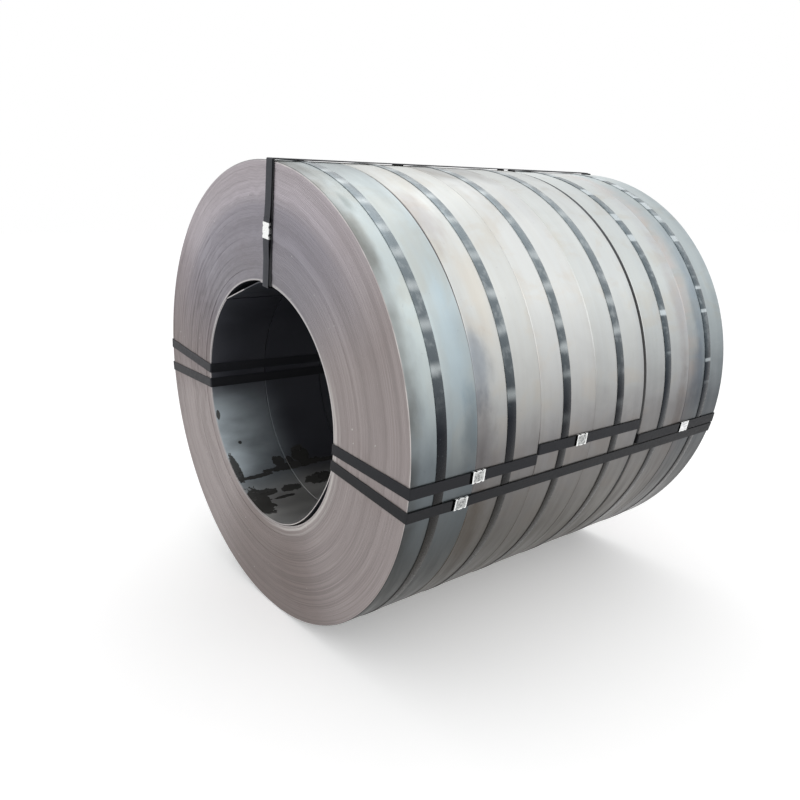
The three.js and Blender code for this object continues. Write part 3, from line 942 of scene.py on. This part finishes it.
@dataclass(frozen=True)
class Seam:
    """How the outer turns of two neighbouring coils close the gap between them.

    Attributes:
        high: How far each coil's turns stand into the gap on top.
        low: How far they stand into it from the right side downwards.
        bore: How far the inner turns of the rear coil stand into it.
        worn: Whether their edge is worn round at the bottom left.
        tied: Whether straps pass through the gap and hold the turns back.
        low_below: The angle either way from +X at which low ends.
        worn_at: The angle of the middle of the worn edge.
        worn_reach: How far the worn edge reaches either way, in degrees.
        worn_end: Over how many degrees beyond that it grows sharp.
        rise: Over how many degrees the outer turns go from low to high.
        strap_reach: How far either side of a strap the outer turns are held back, in degrees.
        inner_reach: How far either side of it the inner turns are.
        release: Over how many degrees beyond that they come free.
    """

    high: float
    low: float
    bore: float = 0.0
    worn: bool = False
    tied: bool = False
    low_below: float = 15.0
    worn_at: float = 225.0
    worn_reach: float = 38.0
    worn_end: float = 15.0
    rise: float = 35.0
    strap_reach: float = 4.0
    inner_reach: float = 9.0
    release: float = 3.0

    def lip(self, angle: float) -> float:
        """How far the outer turns stand into the gap at an angle."""
        share = eased((abs(angle) - self.low_below) / self.rise)
        return (self.low + (self.high - self.low) * share) * self.held_back(angle, self.strap_reach)

    def inner_lip(self, angle: float) -> float:
        """How far the inner turns of the rear coil stand into the gap at an angle."""
        return self.bore * self.held_back(angle, self.inner_reach)

    def sharpness(self, angle: float) -> float:
        """How sharp the rear coil's bore edge is at an angle, from 0, worn round, to 1."""
        return held((apart(angle, self.worn_at) - self.worn_reach) / self.worn_end) if self.worn else 1.0

    def held_back(self, angle: float, clear: float) -> float:
        """0 where a strap holds the turns back at an angle, and 1 where they are clear of every strap."""
        nearest = min(apart(angle, run) for run in STRAP_RUNS)
        return held((nearest - clear) / self.release) if self.tied else 1.0


OPEN_END = Seam(0.0, 0.0)
SEAMS = (
    OPEN_END,
    Seam(0.0, 0.0017, 0.003, worn=True),
    Seam(0.0011, 0.0011, 0.002, tied=True),
    Seam(0.0004, 0.0004, 0.0009),
    Seam(0.0, 0.0),
    Seam(0.0005, 0.0005, 0.0009),
    OPEN_END,
)


@dataclass
class SlitCoil:
    """One slit coil: a turned body whose turns show on its open ends.

    Attributes:
        number: Its place from the front, from 1.
        finish: The finish of its barrel.
        front_seam: What lies in front of it.
        rear_seam: What lies behind it.
        front_groups: Groups of turns on its front, if that is an open end.
        rear_groups: Groups of turns on its rear, if that is an open end.
        loose_turn: Whether its innermost turn is a loose band of its own.
        segments: Steps round the axis.
        lip_reach: How deep the outer turns that close a seam are, along the radius.
        step: How far a lip's root is from the flat of a closed end, along the radius.
        flat_start: How far beyond a joint the next turn's flat begins.
        flat_end: How far before a joint a turn's flat ends.
        groove: How much deeper the joint between two turns is than the turns.
        unevenness: The most that each turn adds to the drift backwards within a group.
        kept_drift: The share of that drift which the next turn keeps.
        barrel_edge: How deep the barrel's finish reaches.
        bore_edge: How deep the bore's finish reaches on an open end.
        sharp_lip: How far a sharp bore edge stands into the gap in front.
        margin: Room left at the limit of a zone, along the radius.
        end_depth: How deep the flats and joints of an open end reach along the axis.
        wander: How far the turns of an open end wander in and out everywhere.
        loose_wander: How much further they wander on the loose side.
        loose_side: The angle of that side, in radians.
        waves: Radius of the ring on which the noise that moves them is read.
        turn_step: How far apart two neighbouring turns are in that noise.
        bias: What is added to it, so that they stand back more often than not.
        first_seed: What its number is added to, to seed its random numbers.
        front: Its front along the axis.
        rear: Its rear along the axis.
        draw: Its random numbers.
    """

    number: int
    finish: BarrelFinish
    front_seam: Seam
    rear_seam: Seam
    front_groups: Sequence[TurnGroup] = ()
    rear_groups: Sequence[TurnGroup] = ()
    loose_turn: bool = False
    segments: int = 192
    lip_reach: float = 0.02
    step: float = 0.004
    flat_start: float = 0.0003
    flat_end: float = 0.0001
    groove: float = 0.0004
    unevenness: float = 0.0003
    kept_drift: float = 0.6
    barrel_edge: float = 0.0008
    bore_edge: float = 0.0004
    sharp_lip: float = 0.001
    margin: float = 0.001
    end_depth: float = 0.004
    wander: float = 0.0002
    loose_wander: float = 0.0014
    loose_side: float = 2.5
    waves: float = 2.2
    turn_step: float = 0.35
    bias: float = 0.1
    first_seed: int = 40
    front: float = field(init=False)
    rear: float = field(init=False)
    draw: random.Random = field(init=False)

    def __post_init__(self) -> None:
        """Reads the coil's place from its node."""
        low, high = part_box(self.node)
        self.front = low.y
        self.rear = high.y
        self.draw = random.Random(self.first_seed + self.number)

    @property
    def node(self) -> str:
        """The coil's CAD node."""
        return f"slit_coil_{self.number}"

    @property
    def bore(self) -> float:
        """Radius of the turned body's bore."""
        return BORE_RADIUS + (STRIP + CLEARANCE if self.loose_turn else 0.0)

    def spans(self, groups: Sequence[TurnGroup]) -> list[Triple]:
        """The flats of one end face, from the bore outwards.

        Args:
            groups: Its groups of turns, or none for a closed end.

        Returns:
            Inner radius, outer radius and how far back each flat stands.
        """
        if not groups:
            inner = self.bore + self.lip_reach
            outer = COIL_RADIUS - self.lip_reach
            flat = (inner + self.step, outer - self.step, 0.0)
            return [(self.bore, inner, 0.0), flat, (outer, COIL_RADIUS, 0.0)]
        spans = []
        radius = BORE_RADIUS + (STRIP if self.loose_turn else 0.0)
        for group in groups:
            drift = 0.0
            for _ in range(group.turns):
                drift = self.kept_drift * drift + self.draw.uniform(0.0, self.unevenness)
                if radius + STRIP <= COIL_RADIUS + TOLERANCE:
                    spans.append((radius, radius + STRIP, group.back + drift))
                radius += STRIP
        return spans

    def end_profile(self, groups: Sequence[TurnGroup], face: float, inward: float) -> list[Pair]:
        """The profile of one end face, from the bore outwards.

        Args:
            groups: Its groups of turns, or none for a closed end.
            face: Where its foremost turns lie along the axis.
            inward: The direction into the coil along the axis, 1 or -1.

        Returns:
            Points by radius and place along the axis.
        """
        spans = self.spans(groups)
        points = []
        for i, (inner, outer, back) in enumerate(spans):
            last = i == len(spans) - 1
            points.append((max(inner, self.bore) + (self.flat_start if i else CHAMFER), back))
            points.append((COIL_RADIUS - CHAMFER if last else outer - self.flat_end, back))
            if groups and not last:
                points.append((outer, max(back, spans[i + 1][2]) + self.groove))
        return [(radius, face + inward * back) for radius, back in points]

    def body(self) -> bmesh.types.BMesh:
        """The turned body.

        Returns:
            Its bmesh, with face zones as material indices.
        """
        front = self.end_profile(self.front_groups, self.front, 1.0)
        rear = self.end_profile(self.rear_groups, self.rear, -1.0)
        barrel = [(COIL_RADIUS, front[-1][1] + CHAMFER), (COIL_RADIUS, rear[-1][1] - CHAMFER)]
        bore = [(self.bore, rear[0][1] - CHAMFER), (self.bore, front[0][1] + CHAMFER)]
        turned = bmesh.new()
        profile = [*front, *barrel, *reversed(rear), *bore]
        verts = [turned.verts.new((radius, along, AXIS_HEIGHT)) for radius, along in profile]
        edges = [turned.edges.new(pair) for pair in zip(verts, [*verts[1:], verts[0]])]
        bmesh.ops.spin(
            turned,
            geom=[*verts, *edges],
            cent=(0.0, 0.0, AXIS_HEIGHT),
            axis=(0.0, 1.0, 0.0),
            angle=2 * math.pi,
            steps=self.segments,
            use_merge=True,
        )
        bmesh.ops.remove_doubles(turned, verts=turned.verts, dist=TOLERANCE)
        bmesh.ops.recalc_face_normals(turned, faces=turned.faces)
        for face in turned.faces:
            face.material_index = self.zone(face.calc_center_median()).value
        return turned

    def zone(self, middle: Vector) -> Face:
        """The zone that a face of the turned body belongs to.

        Args:
            middle: The face's middle.

        Returns:
            The zone.
        """
        reach = from_axis(middle)[0]
        if reach > COIL_RADIUS - self.barrel_edge:
            return Face.BARREL
        # On an end that faces a neighbour, the dark bore finish reaches out over two lip depths of the end
        # face, as painted shade in the gap.
        inner = self.bore_edge if self.is_open_at(middle.y) else 2 * self.lip_reach
        return Face.BORE if reach < self.bore + inner else Face.END

    def is_in_front(self, along: float) -> bool:
        """Whether a place along the axis is nearer to the coil's front."""
        return along < (self.front + self.rear) / 2

    def is_open_at(self, along: float) -> bool:
        """Whether the nearer end face is an open end of the pack."""
        return bool(self.front_groups if self.is_in_front(along) else self.rear_groups)

    def close_seams(self, turned: bmesh.types.BMesh) -> None:
        """Moves the outer turns into the gaps beside the coil.

        Args:
            turned: The turned body.
        """
        beyond = self.lip_reach + self.margin
        for vert in turned.verts:
            reach, aim = from_axis(vert.co)
            angle = math.degrees(aim)
            in_front = self.is_in_front(vert.co.y)
            if reach > COIL_RADIUS - beyond:
                vert.co.y += -self.front_seam.lip(angle) if in_front else self.rear_seam.lip(angle)
            elif reach < self.bore + beyond and in_front:
                vert.co.y -= self.front_seam.inner_lip(angle)
                if reach < self.bore + CHAMFER / 2 and not self.is_open_at(vert.co.y):
                    vert.co.y -= self.sharp_lip * self.front_seam.sharpness(angle)

    def telescope(self, turned: bmesh.types.BMesh) -> None:
        """Lets the turns of an open end wander a little in and out round the coil.

        Args:
            turned: The turned body.
        """
        for vert in turned.verts:
            reach, aim = from_axis(vert.co)
            if not self.bore + self.margin < reach < COIL_RADIUS - self.margin:
                continue
            turn = math.floor((reach - BORE_RADIUS - self.flat_end) / STRIP)
            looseness = max(0.0, math.cos(aim - self.loose_side)) ** 2
            at = Vector((self.waves * math.cos(aim), self.waves * math.sin(aim), turn * self.turn_step))
            depth = (self.wander + self.loose_wander * looseness) * max(0.0, noise.noise(at) + self.bias)
            if self.front_groups and vert.co.y < self.front + self.end_depth:
                vert.co.y += depth
            elif self.rear_groups and vert.co.y > self.rear - self.end_depth:
                vert.co.y -= depth

    def build(self, end: bpy.types.Material, bore: bpy.types.Material) -> None:
        """Builds and dresses the coil.

        Args:
            end: The material of its end faces.
            bore: The material of its bore.
        """
        turned = self.body()
        self.telescope(turned)
        self.close_seams(turned)
        if self.loose_turn:
            LooseTurn(self.front).join(turned)
        barrel = self.finish.material(f"mill_scale_{self.number}", self.front, self.rear)
        attach(finished(turned, f"{self.node}_turned", [barrel, end, bore]), self.node)


@dataclass
class LooseTurn:
    """The innermost turn of the front coil, bent at its head end and sprung low on the right.

    Attributes:
        coil_front: The front of its coil.
        head: The angle of its head end.
        bend: The angle of the bend near the head end.
        seated: The angle at which it meets the wall beyond the bend.
        bend_depth: How far the bend stands off the wall.
        sprung_from: Where it leaves the wall again.
        sprung_to: Where it meets the wall again.
        sprung_depth: How far it stands off in between.
        sprung_skew: Power that moves its furthest place towards where it leaves the wall.
        sweep: How far round it goes, in degrees.
        width: Its width.
        set_back: How far its edge stands back from the coil's front.
        steps: How many lengths it is cut into.
        edge: The radius of its edges.
    """

    coil_front: float
    head: float = 125.0
    bend: float = 104.5
    seated: float = 89.0
    bend_depth: float = 0.0142
    sprung_from: float = -15.0
    sprung_to: float = -84.0
    sprung_depth: float = 0.01
    sprung_skew: float = 0.7
    sweep: float = 359.4
    width: float = 0.171
    set_back: float = 0.0025
    steps: int = 128
    edge: float = 0.0004

    def course(self, distance: float, height: float) -> Pair:
        """Where a point of the flat band goes.

        Args:
            distance: Its distance along the band.
            height: Its height over the band's middle plane.

        Returns:
            Its radius and angle, in radians.
        """
        angle = self.head - math.degrees(distance / BORE_RADIUS)
        radius = BORE_RADIUS + STRIP / 2
        if angle > self.bend:
            radius = self.chord(angle, self.head, radius, self.bend, radius - self.bend_depth)
        elif angle > self.seated:
            radius = self.chord(angle, self.bend, radius - self.bend_depth, self.seated, radius)
        elif self.sprung_to < angle < self.sprung_from:
            share = (angle - self.sprung_from) / (self.sprung_to - self.sprung_from)
            radius -= self.sprung_depth * math.sin(math.pi * share**self.sprung_skew) ** 2
        return radius - height, math.radians(angle)

    @staticmethod
    def chord(angle: float, start: float, start_radius: float, end: float, end_radius: float) -> float:
        """Radius of the straight line between two points, where a direction crosses it."""
        across = sine_of(start - angle) / end_radius + sine_of(angle - end) / start_radius
        return sine_of(start - end) / across

    def join(self, body: bmesh.types.BMesh) -> None:
        """Adds the turn to its coil's bmesh.

        Args:
            body: The coil's bmesh.
        """
        size = (math.radians(self.sweep) * BORE_RADIUS, self.width, STRIP - CLEARANCE)
        middle = self.coil_front + self.set_back + self.width / 2
        turn = wrapped_band(size, self.steps, self.edge, self.course, middle)
        for face in turn.faces:
            angle = math.degrees(from_axis(face.calc_center_median())[1])
            # Between where it meets the wall and the bend, the turn's edges take the dark bore finish, as
            # painted shade at the top of the bore.
            bare = abs(face.normal.y) > 0.5 and not self.seated < angle < self.bend
            face.material_index = Face.END.value if bare else Face.BORE.value
        data = bpy.data.meshes.new("loose_turn")
        turn.to_mesh(data)
        turn.free()
        body.from_mesh(data)
        bpy.data.meshes.remove(data)


# ---- Straps and seals ----


@dataclass
class BellyStrap:
    """A strap round one coil, its ends lapped in a seal.

    Attributes:
        number: Its coil's number.
        seal_angle: The angle of the seal's middle.
        lap: How far its ends lap.
        ramp: The length over which it climbs onto its own other end.
        seat: How far it stands off the coil in the seal.
        early: How far before its own other end it has climbed.
        steps: How many lengths it is cut into.
        edge: The radius of its edges.
        shift_step: How much further the pattern is moved on each next strap.
    """

    number: int
    seal_angle: float
    lap: float = 0.055
    ramp: float = 0.034
    seat: float = 0.0012
    early: float = 0.001
    steps: int = 200
    edge: float = 0.00025
    shift_step: float = 1.7

    def lift(self, distance: float, length: float) -> float:
        """How far the strap stands off the coil.

        Args:
            distance: The distance along it from the middle of the seal.
            length: Once round the coil.

        Returns:
            The lift.
        """
        if distance < self.lap / 2 + self.ramp:
            return self.seat * (1 - max(0.0, (distance - self.lap / 2) / self.ramp))
        left = (length - self.lap / 2 - self.early - distance) / self.ramp
        return (self.seat + STRAP_GAUGE + CLEARANCE) * (1 - held(left))

    def build(self, finish: StrapFinish) -> None:
        """Builds and dresses the strap.

        Args:
            finish: Its finish.
        """
        node = f"belly_strap_{self.number}"
        low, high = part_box(node)
        radius = COIL_RADIUS + CLEARANCE + STRAP_GAUGE / 2
        length = 2 * math.pi * radius
        start = math.radians(self.seal_angle)

        def course(distance: float, height: float) -> Pair:
            """Winds the strap on, from half a lap before the seal's middle."""
            from_seal = distance - self.lap / 2
            return radius + self.lift(from_seal, length) + height, start + from_seal / radius

        size = (length + self.lap, high.y - low.y, STRAP_GAUGE)
        band = wrapped_band(size, self.steps, self.edge, course, (low.y + high.y) / 2)
        material = finish.material(f"belly_strapping_{self.number}", self.shift_step * self.number)
        attach(finished(band, f"{node}_band", [material], crease=35.0), node)


@dataclass
class Strapping:
    """All eye straps and seals, which keep the shapes of their solids.

    Attributes:
        eye: Finish of the eye straps.
        under: Finish of those that lie under another one, in its shade.
        seal: Finish of the seals.
        bright_seal: Finish of the two seals that are brighter than the rest.
        brighter_seals: Those two seals.
        strap_edge: The width of a strap's broken edges.
        seal_edge: The width of a seal's broken edges.
        shift_step: How much further the pattern is moved on each next eye strap or seal.
    """

    eye: StrapFinish
    under: StrapFinish
    seal: ZincFinish
    bright_seal: ZincFinish
    brighter_seals: tuple[str, ...] = ("top_full_seal", "right_pair_3_seal")
    strap_edge: float = 0.0002
    seal_edge: float = 0.00025
    shift_step: float = 2.3

    def build(self) -> None:
        """Softens and dresses every eye strap and seal."""
        for i, node in enumerate(sorted(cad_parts)):
            if node.endswith("_seal") or node.startswith("belly_seal"):
                # Two of the seals get a brighter zinc than the rest.
                zinc = self.bright_seal if node in self.brighter_seals else self.seal
                attach(softened_copy(node, self.seal_edge, zinc.material(node)), node)
            elif node.endswith("_strap"):
                finish = self.under if node.startswith("top_pair") else self.eye
                front = None if node.startswith("top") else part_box(node.replace("_strap", "_seal"))[0].y
                material = finish.material(f"eye_strapping_{i}", self.shift_step * i, front)
                attach(softened_copy(node, self.strap_edge, material), node)


# ---- Stage ----


@dataclass
class Stage:
    """Floor, light and camera.

    Attributes:
        eye: Where the camera stands.
        azimuth: Its azimuth in degrees, 0 looking along +Y.
        elevation: How far it looks down, in degrees.
        picture: The side of the picture in pixels.
        focal: The camera's focal length in such pixels.
        centre: The pixel on its optical axis.
        sensor: The width of its sensor in millimetres.
        far: How far it sees.
        floor_size: Half the side of the floor.
        floor_tones: The two tones of the floor.
        floor_rough: How rough it is.
        floor_lift: How much lighter the floor shows than it is lit, so that it ends in white.
        soft_light: Strength of the surrounding as light.
        target: What the lamps shine at.
    """

    eye: Triple = (1.5037, -1.3834, 1.026)
    azimuth: float = 54.13
    elevation: float = 21.25
    picture: float = 800.0
    focal: float = 694.1
    centre: Pair = (350.0, 483.1)
    sensor: float = 36.0
    far: float = 200.0
    floor_size: float = 40.0
    floor_tones: tuple[Colour, Colour] = ((0.9, 0.9, 0.9), (0.92, 0.92, 0.92))
    floor_rough: float = 0.9
    floor_lift: float = 0.28
    soft_light: float = 0.85
    target: Triple = (0.0, 0.0, 0.5)

    def camera(self) -> None:
        """Makes the camera."""
        data = bpy.data.cameras.new("camera")
        data.sensor_width = self.sensor
        data.lens = self.focal / self.picture * self.sensor
        data.shift_x = 0.5 - self.centre[0] / self.picture
        data.shift_y = self.centre[1] / self.picture - 0.5
        data.clip_end = self.far
        camera = placed("camera", data)
        camera.location = self.eye
        camera.rotation_euler = Euler((math.radians(90 - self.elevation), 0.0, math.radians(self.azimuth)))
        bpy.context.scene.camera = camera

    def floor(self) -> None:
        """Makes the floor."""
        plane = bmesh.new()
        bmesh.ops.create_grid(plane, x_segments=1, y_segments=1, size=self.floor_size)
        g = Graph(bpy.data.materials.new("floor"))
        tone = g.mix(g.noise(g.place(), 1.5, 2.0), *self.floor_tones)
        g.wire(g.shader, {"Emission Color": (1.0, 1.0, 1.0), "Emission Strength": g.seen() * self.floor_lift})
        floor = finished(plane, "floor", [g.finish(tone, self.floor_rough, 0.0)])

    def lamp(self, name: str, place: Triple, size: float, watts: float) -> None:
        """Makes a square lamp that shines at the pack.

        Args:
            name: Its name.
            place: Where it hangs.
            size: Its side.
            watts: Its power.
        """
        data = bpy.data.lights.new(name, "AREA")
        data.size = size
        data.energy = watts
        lamp = placed(name, data)
        lamp.location = place
        aim = Vector(self.target) - Vector(place)
        lamp.rotation_euler = aim.to_track_quat("-Z", "Y").to_euler()

    def world(self) -> None:
        """Makes a plain white surrounding, softer as light than as a background."""
        bpy.context.scene.world = bpy.data.worlds.new("surrounding")
        g = Graph(bpy.context.scene.world, "Background")
        strength = g.ramp(g.seen(), 0.0, 1.0, self.soft_light, 1.0)
        g.wire(g.shader, {"Color": (1.0, 1.0, 1.0), "Strength": strength})

    def build(self) -> None:
        """Builds the whole stage."""
        self.camera()
        self.floor()
        self.world()
        self.lamp("overhead", place=(-1.2, 0.8, 4.2), size=3.5, watts=22.0)
        self.lamp("side", place=(3.5, -2.5, 2.6), size=2.5, watts=16.0)
        bpy.context.scene.view_settings.view_transform = "Standard"


# ---- The pack ----

BROWN = (0.48, 0.45, 0.43)
SLATE = (0.5, 0.55, 0.6)
STRAW = (0.88, 0.84, 0.8)
VIOLET = (0.88, 0.84, 0.88)
PINK = (1.2, 1.02, 0.97)

BARRELS = (
    BarrelFinish(
        crown=(0.6, 0.67, 0.68),
        flank=(0.145, 0.167, 0.18),
        keel=(0.026, 0.026, 0.021),
        top=0.45,
        front=EdgeBand(BROWN, 0.045, 0.95),
        rear=EdgeBand(SLATE, 0.05, 0.2),
        seed=0.1,
        blotches=(
            Blotch(47, -0.55, 9, 0.025, (0.78, 0.76, 0.74)),
            Blotch(57, -0.53, 4, 0.014, (0.7, 0.71, 0.7)),
            Blotch(66, -0.555, 9, 0.03, (1.22, 1.2, 1.2)),
            Blotch(25, -0.43, 22, 0.05, (0.97, 1.03, 1.08)),
            Blotch(22, -0.5, 20, 0.05, (1.18, 1.18, 1.16)),
            Blotch(5, -0.405, 11, 0.03, (0.66, 0.7, 0.74)),
        ),
    ),
    BarrelFinish(
        crown=(0.77, 0.79, 0.77),
        flank=(0.195, 0.19, 0.19),
        keel=(0.06, 0.052, 0.038),
        top=0.7,
        front=EdgeBand(BROWN, 0.04, 0.2),
        rear=EdgeBand(STRAW, 0.03, 0.2),
        seed=0.7,
        blotches=(
            Blotch(17, -0.375, 11, 0.05, (0.62, 0.66, 0.73)),
            Blotch(2, -0.372, 14, 0.06, (0.64, 0.62, 0.63)),
            Blotch(33, -0.33, 20, 0.045, (0.99, 0.94, 0.89)),
            Blotch(53, -0.365, 13, 0.05, (0.84, 0.81, 0.82)),
            Blotch(-22, -0.36, 16, 0.06, (0.66, 0.58, 0.49)),
        ),
    ),
    BarrelFinish(
        crown=(0.79, 0.81, 0.8),
        flank=(0.215, 0.21, 0.21),
        keel=(0.069, 0.06, 0.045),
        top=0.4,
        front=EdgeBand(STRAW, 0.03, 0.3),
        rear=EdgeBand(STRAW, 0.03, 0.3),
        seed=1.3,
    ),
    BarrelFinish(
        crown=(0.74, 0.77, 0.76),
        flank=(0.215, 0.21, 0.21),
        keel=(0.07, 0.061, 0.045),
        top=0.58,
        front=EdgeBand(STRAW, 0.03, 0.3),
        rear=EdgeBand(SLATE, 0.02, 0.2),
        seed=1.9,
    ),
    BarrelFinish(
        crown=(0.67, 0.71, 0.705),
        flank=(0.195, 0.19, 0.19),
        keel=(0.056, 0.048, 0.035),
        top=0.93,
        front=EdgeBand(STRAW, 0.03, 0.2),
        # Coil 5's violet rear band is a tint that also darkens as painted shade towards the gap to coil 6.
        rear=EdgeBand(VIOLET, 0.08, 0.6),
        seed=2.6,
        blotches=(
            Blotch(22, 0.37, 28, 0.03, (0.9, 0.87, 0.86)),
            Blotch(-10, 0.37, 22, 0.04, (0.75, 0.72, 0.69)),
        ),
    ),
    BarrelFinish(
        crown=(0.48, 0.54, 0.555),
        flank=(0.085, 0.096, 0.106),
        keel=(0.022, 0.019, 0.015),
        top=1.2,
        front=EdgeBand(PINK, 0.06, 0.95),
        rear=EdgeBand(SLATE, 0.05, 0.3),
        seed=3.1,
        blotches=(
            Blotch(24, 0.455, 34, 0.03, (0.74, 0.78, 0.84)),
            Blotch(6, 0.44, 15, 0.05, (0.72, 0.73, 0.78)),
        ),
    ),
)

OPEN_SHEARED = EndFinish()
INNER_SHEARED = EndFinish(arris=0.2)
SHADED_SHEARED = EndFinish(light=(0.26, 0.26, 0.26), dark=(0.17, 0.17, 0.17), arris=0.05)
END_FINISHES = (OPEN_SHEARED, INNER_SHEARED, INNER_SHEARED, SHADED_SHEARED, SHADED_SHEARED, OPEN_SHEARED)

SOFT_BELLY = StrapFinish(
    low=(0.023, 0.02, 0.016),
    middle=(0.009, 0.011, 0.0155),
    high=(0.275, 0.325, 0.352),
    glint=(0.66, 0.71, 0.72),
    shine=0.5,
    patches=7.0,
    gap=0.0,
    gap_on_top=0.0,
    soft=0.24,
    rough=0.25,
    metallic=0.85,
    coat=0.03,
)
CRISP_BELLY = replace(
    SOFT_BELLY,
    low=(0.03, 0.028, 0.026),
    middle=(0.006, 0.011, 0.018),
    high=(0.19, 0.235, 0.26),
    glint=(0.72, 0.79, 0.82),
    shine=0.75,
    patches=8.5,
    gap=0.035,
    gap_on_top=0.24,
    soft=0.06,
)
LONG_BELLY = replace(CRISP_BELLY, patches=5.5, gap_on_top=0.12)
BELLY_FINISHES = (SOFT_BELLY, SOFT_BELLY, SOFT_BELLY, SOFT_BELLY, LONG_BELLY, CRISP_BELLY)
BELLY_SEAL_ANGLES = (146.25, 151.875, 146.25, 140.625, 151.875, 146.25)

EYE_FINISH = StrapFinish(
    low=(0.03, 0.03, 0.03),
    middle=(0.03, 0.031, 0.036),
    high=(0.082, 0.085, 0.095),
    glint=(0.1, 0.104, 0.118),
    shine=0.8,
    patches=5.0,
    gap=0.0,
    gap_on_top=0.0,
    soft=0.3,
    rough=0.38,
    metallic=0.6,
    coat=0.0,
    specular=0.0,
    dust=0.12,
    mottle=0.0,
)
UNDER_FINISH = replace(EYE_FINISH, high=(0.004, 0.004, 0.005), glint=(0.006, 0.006, 0.007), metallic=0.9)
BRIGHT_SEAL = ZincFinish(bright=(0.95, 0.95, 0.95), dull=(0.6, 0.61, 0.62))


def main() -> None:
    """Builds the pack and its stage."""
    logging.basicConfig(level=logging.INFO, format="%(name)s: %(message)s")
    Stage().build()
    kinds = enumerate(dict.fromkeys(END_FINISHES), 1)
    sheared = {finish: finish.material(f"sheared_edges_{kind}") for kind, finish in kinds}
    bore = BoreFinish().material("bore_scale")
    for number, (barrel, end) in enumerate(zip(BARRELS, END_FINISHES), 1):
        first, last = number == 1, number == len(BARRELS)
        coil = SlitCoil(
            number,
            barrel,
            front_seam=SEAMS[number - 1],
            rear_seam=SEAMS[number],
            front_groups=FRONT_GROUPS if first else (),
            rear_groups=REAR_GROUPS if last else (),
            loose_turn=first,
        )
        coil.build(sheared[end], bore)
    for number, (angle, finish) in enumerate(zip(BELLY_SEAL_ANGLES, BELLY_FINISHES), 1):
        BellyStrap(number, angle).build(finish)
    Strapping(EYE_FINISH, UNDER_FINISH, ZincFinish(), BRIGHT_SEAL).build()


if __name__ == "__main__":
    main()
